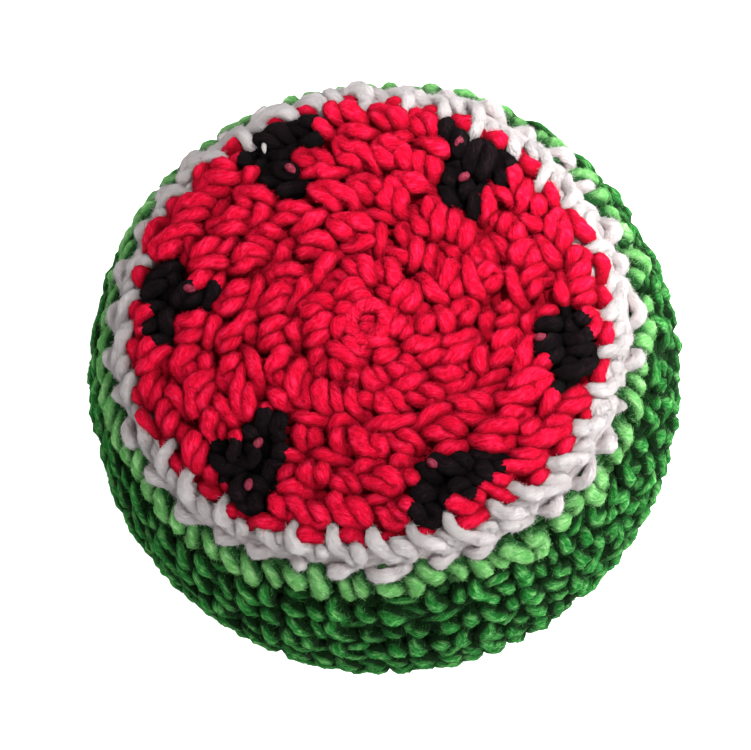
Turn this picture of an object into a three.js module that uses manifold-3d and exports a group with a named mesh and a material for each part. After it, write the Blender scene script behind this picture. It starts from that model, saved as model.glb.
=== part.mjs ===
// A crocheted footbag: a squat round bag whose top is worked as a slice of watermelon.
// Lengths are in millimetres, +Z is up, and the bag stands on z = 0 with its axis on Z.
import * as THREE from 'three';
import { mergeVertices } from 'three/addons/utils/BufferGeometryUtils.js';
import Module from 'manifold-3d';

const wasm = await Module();
wasm.setup();

// Driving dimensions of the bag
const bagRadius = 30;
const bagHeight = 34;
const wallThickness = 2.8;

// Crochet gauge
const roundPitch = 4.05;
const stitchPitch = 4.4;
const stitchRelief = 1;
const discShare = 0.81;
const discRoundCount = Math.round((discShare * bagRadius) / roundPitch);
const rimRoundCount = 2;
const increaseStitches = 6;
const mostStitches = discRoundCount * increaseStitches;
const baseFlatDepth = 0.4;

// How a stitch's bump rises: its lean in stitches, and how far its dips and grooves are sunk
const leanShare = 0.25;
const crownDipShare = 0.55;
const grooveCrownShare = 0.25;

// Seeds: in the last two rounds of the red disc, one stitch wide towards the middle and two
// towards the rim, with a strip of red left at the rim
const seedRoundCount = 2;
const seedRimShare = 0.3;
const seedWidth = 7.8;
const seedAngles = [99, 40, -25, -80, -146, 155];

// Inner pouch and its fill
const pouchThickness = 0.6;
const neckRadius = 2.6;
const neckLength = 3.2;
const neckWaist = 0.5;
const tieThickness = 0.8;
const dimpleRadius = 7.5;
const pelletPitch = 6.4;
const pelletRelief = 1.8;

// Clearances and cutters
const pieceGap = 0.3;
const cutterOverrun = 3;

// Facet counts
const samplesPerStitch = 2;
const insideSegments = 30;
const tieSides = 6;

// Outline of the bag from the middle of its top to the middle of its base, over the stitches'
// crowns: shares of the radius and of the height
const outlineShares = [
  [0, 0.972],
  [0.22, 0.976],
  [0.45, 0.99],
  [0.65, 1],
  [0.795, 0.978],
  [0.885, 0.894],
  [0.965, 0.72],
  [1, 0.5],
  [0.97, 0.27],
  [0.895, 0.11],
  [0.79, 0.02],
  [0.65, 0],
  [0.4, 0],
  [0, 0],
];

// Outline of a seed, widest at the rim: shares of its width and of its depth
const seedShares = [
  [-0.18, 0],
  [0.2, 0],
  [0.24, 0.42],
  [0.5, 0.5],
  [0.46, 0.95],
  [0.2, 1],
  [0.02, 0.86],
  [-0.2, 1],
  [-0.5, 0.9],
  [-0.44, 0.46],
  [-0.22, 0.4],
];

// The outline as a curve, with its base lowered by the depth that is pressed flat
const outline = new THREE.SplineCurve(
  outlineShares.map(([across, up]) => {
    const height = -baseFlatDepth + up * (bagHeight + baseFlatDepth);
    return new THREE.Vector2(across * bagRadius, height);
  }),
);
const outlineLength = outline.getLength();

// The point of the outline at a distance along it, moved inwards by a depth
function outlinePoint(distance, depth) {
  const share = THREE.MathUtils.clamp(distance / outlineLength, 0, 1);
  const point = outline.getPointAt(share);
  const run = outline.getTangentAt(share);
  const across = point.x + run.y * depth;
  return new THREE.Vector2(Math.max(across, 0), point.y - run.x * depth);
}

// Where each colour ends, as a distance along the outline: the rim has a white round and then
// a light green one
const fleshEnd = discRoundCount * roundPitch;
const rindEnd = fleshEnd + roundPitch;
const lightEnd = fleshEnd + rimRoundCount * roundPitch;

// Where the pouch lies under the crowns, and its neck over the base
const pouchDepth = wallThickness + pieceGap;
const neckBottom = wallThickness + pieceGap;
const neckTop = neckBottom + neckLength;

// A three.js geometry as a closed solid
function solidFrom(geometry) {
  const bare = geometry.clone();
  bare.deleteAttribute('normal');
  bare.deleteAttribute('uv');
  const merged = mergeVertices(bare);
  const mesh = new wasm.Mesh({
    numProp: 3,
    vertProperties: new Float32Array(merged.attributes.position.array),
    triVerts: new Uint32Array(merged.index.array),
  });
  return new wasm.Manifold(mesh);
}

// A closed solid as a named mesh
function meshFrom(name, solid, material) {
  const data = solid.getMesh();
  const geometry = new THREE.BufferGeometry();
  geometry.setAttribute('position', new THREE.BufferAttribute(data.vertProperties, 3));
  geometry.setIndex(new THREE.BufferAttribute(data.triVerts, 1));
  geometry.computeVertexNormals();
  const mesh = new THREE.Mesh(geometry, material);
  mesh.name = name;
  return mesh;
}

// A solid of revolution from points on its outline, turned to stand on Z
function turned(points) {
  const geometry = new THREE.LatheGeometry(points, insideSegments);
  geometry.rotateX(Math.PI / 2);
  return solidFrom(geometry);
}

// Stitches in a round whose middle lies at a distance along the outline
function stitchesAt(distance) {
  const around = 2 * Math.PI * outlinePoint(distance, 0).x;
  const groups = Math.round(around / (stitchPitch * increaseStitches));
  return THREE.MathUtils.clamp(groups * increaseStitches, increaseStitches, mostStitches);
}

// Rounds from the middle of the top to the middle of the base
function listRounds() {
  const rounds = [];
  const topRounds = discRoundCount + rimRoundCount;
  const greenRounds = Math.round((outlineLength - lightEnd) / roundPitch);
  const greenPitch = (outlineLength - lightEnd) / greenRounds;
  for (let i = 0; i < topRounds; i += 1) {
    const stitches = Math.min((i + 1) * increaseStitches, mostStitches);
    rounds.push({ start: i * roundPitch, pitch: roundPitch, stitches });
  }
  for (let i = 0; i < greenRounds; i += 1) {
    const start = lightEnd + i * greenPitch;
    rounds.push({ start, pitch: greenPitch, stitches: stitchesAt(start + greenPitch / 2) });
  }
  return rounds;
}

// Rounds of pellets over the heap, each as wide as it is high
function listPelletRows() {
  const rowCount = Math.round(outlineLength / pelletPitch);
  const pitch = outlineLength / rowCount;
  return Array.from({ length: rowCount }, (_, i) => {
    const around = 2 * Math.PI * outlinePoint((i + 0.5) * pitch, pouchDepth).x;
    return { start: i * pitch, pitch, stitches: Math.max(Math.round(around / pelletPitch), 3) };
  });
}

// One closed row of points round the bag, sunk between its bumps; a row without bumps is a circle
function rowAt(distance, bumps, samples, shift, depthAt) {
  const count = bumps * samples;
  return Array.from({ length: count }, (_, i) => {
    const rise = Math.abs(Math.sin((Math.PI * i) / samples));
    const point = outlinePoint(distance, depthAt(rise));
    const angle = (2 * Math.PI * (i + shift * samples)) / count;
    return { angle, x: point.x * Math.cos(angle), y: point.x * Math.sin(angle), z: point.y };
  });
}

// A row of one point on the axis
function axisRow(distance, depth) {
  return [{ angle: 0, x: 0, y: 0, z: outlinePoint(distance, depth).y }];
}

// Rows over a run of rounds: a crown for each round and a groove where two meet
function bumpRows(rounds, relief, depth) {
  const rows = [];
  const groove = (rise) => depth + relief * (1 - grooveCrownShare * rise);
  const crown = (rise) => depth + relief * crownDipShare * (1 - rise);
  rounds.forEach((round, i) => {
    const next = rounds[i + 1];
    const middle = round.start + round.pitch / 2;
    rows.push(rowAt(middle, round.stitches, samplesPerStitch, leanShare, crown));
    if (next) {
      const bumps = Math.max(round.stitches, next.stitches);
      rows.push(rowAt(next.start, bumps, samplesPerStitch, 0, groove));
    }
  });
  return rows;
}

// Faces between two rows that may have different numbers of points
function joinRows(upper, lower, upperStart, lowerStart, faces) {
  const upperSteps = upper.length > 1 ? upper.length : 0;
  const lowerSteps = lower.length > 1 ? lower.length : 0;
  const angleIn = (row, i) => row[i % row.length].angle + 2 * Math.PI * Math.floor(i / row.length);
  let a = 0;
  let b = 0;
  while (a < upperSteps || b < lowerSteps) {
    const upperHere = upperStart + (a % upper.length);
    const lowerHere = lowerStart + (b % lower.length);
    const upperIsNext = angleIn(upper, a + 1) <= angleIn(lower, b + 1);
    if (b >= lowerSteps || (a < upperSteps && upperIsNext)) {
      a += 1;
      faces.push(upperHere, lowerHere, upperStart + (a % upper.length));
    } else {
      b += 1;
      faces.push(upperHere, lowerHere, lowerStart + (b % lower.length));
    }
  }
}

// A closed solid through rows that run round its section, in the order of the outline
function solidThrough(rows) {
  const positions = [];
  const starts = rows.map((row) => {
    const start = positions.length / 3;
    for (const point of row) positions.push(point.x, point.y, point.z);
    return start;
  });
  const faces = [];
  rows.forEach((row, i) => {
    const next = (i + 1) % rows.length;
    joinRows(row, rows[next], starts[i], starts[next], faces);
  });
  const geometry = new THREE.BufferGeometry();
  geometry.setAttribute('position', new THREE.Float32BufferAttribute(positions, 3));
  geometry.setIndex(faces);
  return solidFrom(geometry);
}

// A panel of the crocheted wall between two distances along the outline
function panelSolid(start, end) {
  const rounds = listRounds().filter((round) => {
    const middle = round.start + round.pitch / 2;
    return middle > start && middle < end;
  });
  const fromAxis = start <= 0;
  const toAxis = end >= outlineLength;
  const first = fromAxis ? start : start + pieceGap / 2;
  const last = toAxis ? end : end - pieceGap / 2;
  const edgeDepth = (rise) => stitchRelief * (1 - grooveCrownShare * rise);
  const edge = (distance, round) => rowAt(distance, round.stitches, samplesPerStitch, 0, edgeDepth);
  const rows = [fromAxis ? axisRow(first, stitchRelief) : edge(first, rounds[0])];
  rows.push(...bumpRows(rounds, stitchRelief, 0));
  rows.push(toAxis ? axisRow(last, stitchRelief) : edge(last, rounds[rounds.length - 1]));
  const steps = Math.ceil((last - first) / roundPitch);
  for (let i = steps; i >= 0; i -= 1) {
    const distance = first + ((last - first) * i) / steps;
    const onAxis = (fromAxis && i === 0) || (toAxis && i === steps);
    const circle = rowAt(distance, insideSegments, 1, 0, () => wallThickness);
    rows.push(onAxis ? axisRow(distance, wallThickness) : circle);
  }
  return solidThrough(rows);
}

// A block that takes everything over the plane the bag stands on
function standingBlock() {
  const side = 2 * (bagRadius + cutterOverrun);
  const height = bagHeight + cutterOverrun;
  const block = new THREE.BoxGeometry(side, side, height);
  block.translate(0, 0, height / 2);
  return solidFrom(block);
}

// A seed's outline as an upright block through the top, grown by a margin
function seedBlock(angle, margin) {
  const inner = outlinePoint(fleshEnd - seedRoundCount * roundPitch, 0).x - margin;
  const outer = outlinePoint(fleshEnd - seedRimShare * roundPitch, 0).x + margin;
  const width = seedWidth + 2 * margin;
  const corners = seedShares.map(([across, out]) => {
    return new THREE.Vector2(inner + out * (outer - inner), -across * width);
  });
  const height = wallThickness + 2 * cutterOverrun;
  const block = new THREE.ExtrudeGeometry(new THREE.Shape(corners), {
    depth: height,
    bevelEnabled: false,
  });
  block.translate(0, 0, bagHeight - wallThickness - cutterOverrun);
  block.rotateZ(THREE.MathUtils.degToRad(angle));
  return solidFrom(block);
}

// The pouch's outline at a depth under its own skin, ending at the neck's mouth: it bears on the
// crowns of the pellets, so its corners lie on their rows
function pouchPoints(depth) {
  const points = [new THREE.Vector2(0, outlinePoint(0, pouchDepth + depth).y)];
  for (const row of listPelletRows()) {
    const point = outlinePoint(row.start + row.pitch / 2, pouchDepth + depth);
    if (point.y > bagHeight / 2 || point.x > dimpleRadius + depth) points.push(point);
  }
  const waist = neckRadius - neckWaist - depth;
  points.push(new THREE.Vector2(waist, neckTop + depth));
  points.push(new THREE.Vector2(waist, neckBottom + neckLength / 3));
  points.push(new THREE.Vector2(neckRadius - depth, neckBottom));
  return points;
}

// A thin bag whose open neck stands in a dimple under it
function pouchSolid() {
  return turned([...pouchPoints(0), ...pouchPoints(pouchThickness).reverse()].reverse());
}

// A ring of thread round the waist of the neck
function tieSolid() {
  const ringRadius = neckRadius - neckWaist + pieceGap + tieThickness / 2;
  const geometry = new THREE.TorusGeometry(ringRadius, tieThickness / 2, tieSides, insideSegments / 2);
  geometry.translate(0, 0, neckBottom + neckLength / 3 + tieThickness / 2);
  return solidFrom(geometry);
}

// A heap of pellets, joined where they touch, that fills the pouch round its dimple
function fillSolid() {
  const depth = pouchDepth + pouchThickness + pieceGap;
  const rows = [axisRow(0, depth), ...bumpRows(listPelletRows(), pelletRelief, depth)];
  rows.push(axisRow(outlineLength, depth));
  const dimpleTop = neckTop + pouchThickness + pieceGap;
  const dimple = [
    new THREE.Vector2(0, -cutterOverrun),
    new THREE.Vector2(dimpleRadius + pouchThickness + 2 * pieceGap, -cutterOverrun),
    new THREE.Vector2(dimpleRadius + pouchThickness + 2 * pieceGap, neckBottom + pouchThickness),
    new THREE.Vector2(neckRadius, dimpleTop),
    new THREE.Vector2(0, dimpleTop),
  ];
  return solidThrough(rows).subtract(turned(dimple));
}

// Finishes
function yarn(color) {
  return new THREE.MeshStandardMaterial({ color, roughness: 0.95, metalness: 0 });
}
const redYarn = yarn('#e0143c');
const blackYarn = yarn('#150a10');
const whiteYarn = yarn('#efeae6');
const lightGreenYarn = yarn('#74bd6c');
const greenYarn = yarn('#23803a');
const muslin = new THREE.MeshStandardMaterial({ color: '#d8d2c4', roughness: 0.9, metalness: 0 });
const thread = new THREE.MeshStandardMaterial({ color: '#f4f1ea', roughness: 0.85, metalness: 0 });
const pelletPlastic = new THREE.MeshStandardMaterial({ color: '#e6e2d8', roughness: 0.5, metalness: 0 });

const footbag = new THREE.Group();
let flesh = panelSolid(0, fleshEnd);
seedAngles.forEach((angle, i) => {
  footbag.add(meshFrom(`seed_${i + 1}`, flesh.intersect(seedBlock(angle, 0)), blackYarn));
  flesh = flesh.subtract(seedBlock(angle, pieceGap));
});
const cup = panelSolid(lightEnd, outlineLength).intersect(standingBlock());
footbag.add(meshFrom('flesh_panel', flesh, redYarn));
footbag.add(meshFrom('rind_ring', panelSolid(fleshEnd, rindEnd), whiteYarn));
footbag.add(meshFrom('light_green_ring', panelSolid(rindEnd, lightEnd), lightGreenYarn));
footbag.add(meshFrom('green_cup', cup, greenYarn));
footbag.add(meshFrom('inner_pouch', pouchSolid(), muslin));
footbag.add(meshFrom('pouch_tie', tieSolid(), thread));
footbag.add(meshFrom('pellet_fill', fillSolid(), pelletPlastic));

export default footbag;
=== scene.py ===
"""The looks of a crocheted footbag: every stitch is a real loop of yarn, worked round by round.

Lengths in the tables here are in millimetres, and MM turns them into Blender's metres. The bag
stands on z = 0 with its axis on Z, as the frame has it.
"""

import itertools
import math

import bmesh
import bpy
import numpy as np
from mathutils import Matrix, Vector


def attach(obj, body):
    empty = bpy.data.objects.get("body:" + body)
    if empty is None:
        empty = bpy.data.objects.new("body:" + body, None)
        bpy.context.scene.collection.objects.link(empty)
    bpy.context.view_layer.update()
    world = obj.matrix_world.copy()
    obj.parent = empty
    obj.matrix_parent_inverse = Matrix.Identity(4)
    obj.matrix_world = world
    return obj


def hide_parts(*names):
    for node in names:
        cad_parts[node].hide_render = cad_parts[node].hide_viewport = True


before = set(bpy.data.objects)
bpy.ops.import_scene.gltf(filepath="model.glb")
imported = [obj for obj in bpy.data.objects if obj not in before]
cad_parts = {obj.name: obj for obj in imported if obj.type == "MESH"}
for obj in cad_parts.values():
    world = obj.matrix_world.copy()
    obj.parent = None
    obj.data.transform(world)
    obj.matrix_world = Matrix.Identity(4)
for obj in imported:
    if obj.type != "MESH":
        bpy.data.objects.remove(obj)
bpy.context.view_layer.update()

MM = 0.001
SEED = 20
rng = np.random.default_rng(SEED)

# The bag's size, how far below the floor its outline is drawn, and the crochet gauge
BAG_RADIUS = 30
BAG_HEIGHT = 34
BASE_FLAT = 0.4
ROUND_PITCH = 4.05
STITCH_PITCH = 4.4
DISC_ROUNDS = 6
RIM_ROUNDS = 2
INCREASE = 6
MOST_STITCHES = DISC_ROUNDS * INCREASE
SEAM_ANGLE = -62
ROUNDS_PER_PIECE = 3

# The yarn: its thickness, how deep the fabric's middle lies, and how finely its tubes are drawn.
# For the painted shade, a strand's side counts as so much deeper in the grooves than its
# front, so its sides are painted darker.
YARN_RADIUS = 0.80
FABRIC_DEPTH = 2.05
POINT_STEP = 0.5
PATH_SAMPLES = 6
TUBE_SIDES = 9
YARN_TWIST = 0.55
LUMPS = 0.17
LINE_OFFSET = 97.0
RUN_OVERLAP = 2
TIP_THICKNESS = (0.35, 0.75, 0.93, 1)
SIDE_SHADE_DEPTH = 2.8
CLEAR_OF_FLOOR = 0.02

# How the strands settle: points that come nearer than a share of their thickness push each other
# apart, unless they are neighbours on one strand, and the bag's skin and the floor hold them in
SOFT_BENDS = 3
SETTLE_STEPS = 36
PAIRS_EVERY = 6
PAIR_REACH = 2.6
PAIR_MARGIN = 0.5
GRID_CELLS = 1024
NEIGHBOURS = 6
SQUEEZE = 0.85
LEAST_APART = 0.05
PUSH_SHARE = 0.22
MOST_PUSH = 0.25
KEPT_DRIFT = 0.96
OUTER_SLACK = 0.42
PROUD_SHARE = 0.8
FLOOR_SQUEEZE = 0.85

# The fibres that stand off the yarn, and how many of them there are to a point of it: the green's
# grow fewer from the rim to the base
FIBRE_LENGTH = 0.85
FIBRE_SHORTEST = 0.35
FIBRE_THICKNESS = 0.018
FIBRE_POINTS = 2
FIBRE_SIDES = 3
FIBRE_ENDS = 4
FIBRE_FOOT = 0.97
FIBRE_AROUND = 0.9
FIBRE_SPREAD = 1.0
FIBRE_BEND = 0.3
FIBRE_LIFT = 0.09
FIBRE_DEEPEST = 1.3
FIBRE_HIGHEST = OUTER_SLACK + 0.15
FIBRE_STREAKS = (0.37, 0.11)
FIBRES_PER_PIECE = 23500
FLESH_FIBRES = 13
SEED_FIBRES = 18
RIND_FIBRES = 26
LIGHT_FIBRES = 20
GREEN_FIBRES = (5.5, 4, 2, 1)

# The strands at the fabric's back, which close it behind the stitches
BACK_DEPTHS = {"flesh": 2.5, "rind": 1.9, "light_green": 2.0, "green": 1.7}
BACK_RADIUS = 0.75
BACK_SPREAD = 0.08
BACK_STEP = 1.2
BACK_SIDES = 6
BACK_STRANDS = 3
BACK_OVERLAP = 0.1
LEAST_BACK_ROUND = 1.5

# The pouch: its cloth, and the pleats and lumps that the pellets and the tie draw it into
POUCH_DEPTH = 3.5
POUCH_WALL = 0.35
POUCH_ROWS = 70
POUCH_STEPS = 120
POUCH_FOLDS = 17
POUCH_FOLD = 0.5
POUCH_LUMP = 0.35
PLEATS_FROM = 3.2
PLEATS_TO = 16
LUMPS_TO = 22
LUMPS_AROUND = 9
LUMPS_OUT = 1.15
LUMPS_UP = 0.8
DIMPLE_RADIUS = 7.5
CLOTH_ROUND = 27
WEAVE_PITCH = 0.45
# Its gathered neck and the tie
NECK_RADIUS = 2.6
NECK_WAIST = 0.5
NECK_BOTTOM = 3.1
NECK_LENGTH = 3.2
NECK_TOP = NECK_BOTTOM + NECK_LENGTH
NECK_REACH = 4
NECK_RUFFLE = 0.07
NECK_END = 0.55
NECK_END_RUFFLE = 0.12
TIE_HEIGHT = 4.6
NECK_SIDE = (
    (4.2, NECK_TOP - 0.6), (2.5, NECK_TOP + 0.1),
    (NECK_RADIUS - NECK_WAIST, NECK_TOP - 0.7),
    (NECK_RADIUS - NECK_WAIST, TIE_HEIGHT),
    (NECK_RADIUS, NECK_BOTTOM + 0.6),
    (NECK_RADIUS + 0.2, NECK_BOTTOM),
    (NECK_RADIUS - 0.9, NECK_BOTTOM - 0.1), (0.7, NECK_BOTTOM + 0.3), (0, NECK_BOTTOM + 0.5),
)
TIE_TURNS = 3
TIE_SINK = 0.3
THREAD_RADIUS = 0.13
THREAD_PITCH = 0.9
KNOT_SIZE = (0.28, 0.34, 0.3)
KNOT_SWELL = 0.4

# The pellets, in close layers
PELLET_RADIUS = 2.3
PELLET_PITCH = 5.0
PELLET_FLATNESS = 0.8
PELLET_NARROWEST = 0.85
PELLET_PLAY = 0.15
PELLET_TILT = 0.3
PELLET_GAP = 0.1
LAYER_REACH = 0.6

# The share of soft clumps in the yarn's streaks, and where its dark to light colours lie in them
CLUMP_SHARE = 0.6
DARK_TO_LIGHT = (0.62, 0.80, 0.98)

# Outline of the bag from the middle of its top to the middle of its base, over the stitches'
# crowns: shares of the radius and of the height
OUTLINE_SHARES = (
    (0, 0.972), (0.22, 0.976), (0.45, 0.99), (0.65, 1), (0.795, 0.978), (0.885, 0.894),
    (0.965, 0.72), (1, 0.5), (0.97, 0.27), (0.895, 0.11), (0.79, 0.02), (0.65, 0), (0.4, 0), (0, 0),
)

# The yarn's way through one stitch: first its head, a loop lying along the round, then its two
# legs, which come up through the hole in the round before. Each row is a point: how far it lies
# from the hole (0) towards the head (1), or that it hangs on the last head (-1); how far it is
# shifted in stitches; how far up the round it lies in rounds; how far it stands over the middle
# of the fabric in millimetres; how thick the yarn is there.
STITCH_PATH = np.array((
    (-1.00, 0.05, 0.98, 0.00, 0.80),
    (-1.00, 0.28, 0.98, 0.45, 0.86),
    (-0.50, 0.00, 0.93, 1.30, 1.14),
    (1.00, -0.20, 0.95, 0.65, 0.90),
    (1.00, 0.12, 0.95, 0.10, 0.80),
    (1.00, -0.18, 0.96, -0.65, 0.95),
    (-0.50, 0.00, 0.98, -0.80, 1.00),
    (-1.00, 0.25, 0.86, -0.70, 0.95),
    (-0.20, -0.15, 0.42, -0.95, 0.95),
    (0.00, -0.18, -0.02, -0.60, 0.80),
    (0.00, -0.20, -0.10, 0.10, 0.75),
    (0.12, -0.20, 0.10, 0.95, 1.00),
    (0.48, -0.18, 0.32, 1.35, 1.15),
    (0.85, -0.17, 0.53, 0.95, 1.00),
    (1.00, -0.11, 0.68, 0.25, 0.82),
    (1.00, 0.09, 0.69, 0.20, 0.80),
    (0.88, 0.20, 0.54, 0.75, 0.94),
    (0.50, 0.22, 0.33, 1.20, 1.08),
    (0.12, 0.20, 0.10, 0.80, 0.94),
    (0.00, 0.20, -0.10, 0.00, 0.72),
    (0.00, 0.20, -0.02, -0.60, 0.80),
    (0.50, 0.18, 0.45, -0.90, 0.95),
    (1.00, 0.05, 0.80, -0.60, 0.90),
))
HEAD_POINTS = 8
ARCH_POINTS = (14, 15)
# Points hanging this near on the last head already turn to the hole
TURNS_TO_HOLE = -0.4
# Points lower than these are a leg's lower half and its foot; points this proud are its front
LOW_LEG = 0.4
LEG_FOOT = 0.1
LEG_FRONT = 0.3
# Where a hole and a head lie in their stitches, and where two stitches stand that share a hole
HOLE_PLACE = 0.42
HEAD_LEAN = 0.56
SHARED_STEP = 0.5
SHARED_BACK = 0.12
# A round's first stitch hangs on the end of the round before
SEAM_BACK = 0.9
# How unevenly the stitches are worked: spreads round the bag in stitches, up the round in rounds,
# out of the fabric in millimetres, and of the yarn's thickness
HEAD_SPREAD = 0.08
HOLE_SPREAD = 0.07
ASIDE_SPREAD = 0.07
STITCH_UP_SPREAD = 0.06
POINT_UP_SPREAD = 0.07
STITCH_OUT_SPREAD = 0.24
POINT_OUT_SPREAD = 0.15
STITCH_GIRTH_SPREAD = 0.07
POINT_GIRTH_SPREAD = 0.11
# The least and the most share of the path's height at which red heads stand
RED_HEADS_OUT = (0.55, 1.15)
# How high the loop between a stitch's two legs bulges out over them, in millimetres, and how much
# of that each yarn shows
ARCH_OUT = 0.75
RED_ARCH = (-0.4, 1)
RIND_ARCH = 0.7
GREEN_ARCH = -0.9
# Each seed's black yarn, as patches: their places across and along the top, and their radii
SEED_PATCHES = (
    ((-6.2, 21.9, 1.0), (-1.3, 21.7, 2.0), (-3.7, 20.8, 1.5), (-4.4, 19.3, 1.4), (-2.9, 16.5, 1.2)),
    ((14.3, 15.9, 1.2), (17.8, 12.5, 1.2), (14.1, 12.9, 2.1), (15.8, 11.6, 1.4), (13.3, 10.2, 1.5)),
    ((15.6, -6.6, 0.9), (19.5, -5.9, 1.2), (18.3, -8.3, 2.1), (19.6, -10.1, 1.3), (16.6, -11.5, 1.4)),
    ((1.7, -16.4, 1.1), (7.1, -18.2, 1.5), (2.2, -18.5, 2.1), (4.5, -18.7, 1.8), (0.4, -20.4, 1.5)),
    ((-18.0, -8.8, 1.3), (-15.9, -10.6, 2.2), (-13.3, -7.8, 1.5), (-13.1, -10.2, 1.2), (-15.3, -13.3, 1.8)),
    ((-17.2, 12.0, 0.8), (-18.9, 10.3, 1.5), (-17.9, 8.2, 2.1), (-14.8, 7.7, 1.4), (-20.1, 6.1, 1.4)),
)
PATCH_EDGE = 0.4
LEAST_PATCH = 5
LEAST_GAP = 8
# Where dull red, and once white, peeks through the seeds
PEEKS = (
    (-2.9, 18.0), (14.2, 15.3), (13.6, 11.5), (16.0, -7.4),
    (1.9, -16.7), (-14.1, -9.2), (-16.2, -13.1), (-16.2, 8.8),
)
WHITE_PEEK = (-4.8, 21.1)
WHITE_SHARE = 0.55
PEEK_POINTS = 9
PEEK_LENGTH = 0.55
PEEK_RADIUS = 0.5
PEEK_TAPER = 0.75
PEEK_DEPTH = -0.1
PEEK_ARCH = 0.4
PEEK_TILT = 0.5
# The first round is worked over a ring of yarn, and the last is drawn together
FIRST_ROUND_FROM = 0.60
LAST_ROUND_TO = 0.62
# The ring turns from its start in the hollow, in degrees, and lies higher on one side
RING_AWAY = (0.2, 1.8)
RING_TURNS = (-150, 370)
RING_POINTS = 56
RING_OUT = (1.0, 1.6)
RING_TILT = 0.35
RING_HIGH_SIDE = 40
RING_THICKNESS = (0.7, 1.1)
# Two strands cross the hollow in the ring's middle
HOLLOW_DEPTH = 1.0
HOLLOW_STRANDS = (-0.35, 0.75)
HOLLOW_SLANT = 0.4
HOLLOW_TAPER = 0.3
HOLLOW_POINTS = 9
# The white round's first legs reach down over the red; its heads stand proud at the rim, where the
# light green round is worked in behind them.
RIND_LEGS_ALONG = (0, -0.28, -0.28, -0.20, -0.08, 0, 0, 0, 0, 0.04, 0.08, 0.10, 0.10, 0, 0)
RIND_HEADS_UP = (0, 0, 0.04, 0, 0, 0, 0, 0)
RIND_HEADS_OUT = (-0.1, -0.2, 0.5, -0.2, -0.1, 0, 0, 0)
RIND_LEGS_LENGTH = 0.76
RIND_LEGS_APART = 1.5
RIND_TOPS_APART = 0.7
RIND_YARN = 0.86
LIGHT_LEGS_UP = 0.10
# How far the rim's rounds lie off their place down the outline, every 30 degrees round the bag:
# where the red ends, and where the white ends
RED_SHIFTS = (-0.2, -1.2, 0.6, 1.5, 1.1, 0.6, 1.4, 0.9, -1.1, -0.7, 0.6, 1.4)
WHITE_SHIFTS = (1.3, 2.0, 3.4, 3.7, 2.4, 0.5, 0.5, 0.5, -0.9, -0.7, 0.8, 1.5)
# The rounds over which the white's shift fades out
WHITE_FADE = 7
# The green rounds' long legs stand apart and lean, by a lean that changes round the bag, over
# heads that lie deep
GREEN_YARN = 1.16
GREEN_LEGS_APART = 1.22
GREEN_LEGS_LENGTH = 1.4
GREEN_LEAN = -0.35
GREEN_LEAN_CHANGE = 0.4
LEAN_FROM = 0.3
GREEN_HEADS_OUT = 0.2
GREEN_UNEVEN = 0.5


def catmull_rom(points, steps):
    """A smooth line through points, with so many samples between each two."""
    points = np.asarray(points, float)
    padded = np.concatenate((points[:1], points, points[-1:]))
    before, here, there, after = padded[:-3], padded[1:-2], padded[2:-1], padded[3:]
    t = np.arange(steps)[None, :, None] / steps
    start, end = (there - before) / 2, (after - here) / 2
    before, here, there, start, end = (x[:, None, :] for x in (before, here, there, start, end))
    line = (
        (2 * here - 2 * there + start + end) * t**3
        + (-3 * here + 3 * there - 2 * start - end) * t**2
        + start * t
        + here
    )
    return np.concatenate((line.reshape(-1, points.shape[1]), points[-1:]))


def spaced(line, step):
    """The line again with its points a step apart, and where on the old line each one lay."""
    runs = np.r_[0, np.cumsum(np.linalg.norm(np.diff(line, axis=0), axis=1))]
    count = max(int(runs[-1] / step), 2)
    wanted = np.linspace(0, runs[-1], count + 1)
    old = np.interp(wanted, runs, np.arange(len(line)))
    return np.stack([np.interp(wanted, runs, column) for column in line.T], 1), old


# The outline as a line, its length so far, and the way it runs
shares = np.array(OUTLINE_SHARES)
corners = np.stack(
    (shares[:, 0] * BAG_RADIUS, shares[:, 1] * (BAG_HEIGHT + BASE_FLAT) - BASE_FLAT), 1
)
outline, _ = spaced(catmull_rom(corners, 60), 0.1)
outline_run = np.r_[0, np.cumsum(np.linalg.norm(np.diff(outline, axis=0), axis=1))]
outline_way = np.gradient(outline, axis=0)
outline_way /= np.linalg.norm(outline_way, axis=1, keepdims=True)
OUTLINE_LENGTH = outline_run[-1]


def on_bag(angle, distance, depth):
    """Points at an angle round the axis, a distance down the outline and a depth under it."""
    columns = (*outline.T, *outline_way.T)
    across, up, way_across, way_up = (np.interp(distance, outline_run, x) for x in columns)
    across = across + way_up * depth
    up = up - way_across * depth
    return np.stack((across * np.cos(angle), across * np.sin(angle), up), -1)


def radius_at(distance):
    return float(np.interp(distance, outline_run, outline[:, 0]))


def stretched(distance, angle):
    """A distance down the outline with the rim's rounds shifted, as they lie a little unevenly."""
    rounds = distance / ROUND_PITCH
    every = np.arange(len(RED_SHIFTS)) * 2 * math.pi / len(RED_SHIFTS)
    red_edge = np.interp(angle, every, RED_SHIFTS, period=2 * math.pi)
    white_edge = np.interp(angle, every, WHITE_SHIFTS, period=2 * math.pi)
    red_end, white_end = DISC_ROUNDS, DISC_ROUNDS + 1
    red_share = np.interp(rounds, (0, red_end, white_end), (0, 1, 0))
    white_share = np.interp(rounds, (red_end, white_end, red_end + WHITE_FADE), (0, 1, 0))
    return distance + red_share * red_edge + white_share * white_edge


def unit(ways):
    return ways / np.maximum(np.linalg.norm(ways, axis=-1, keepdims=True), 1e-9)


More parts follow.
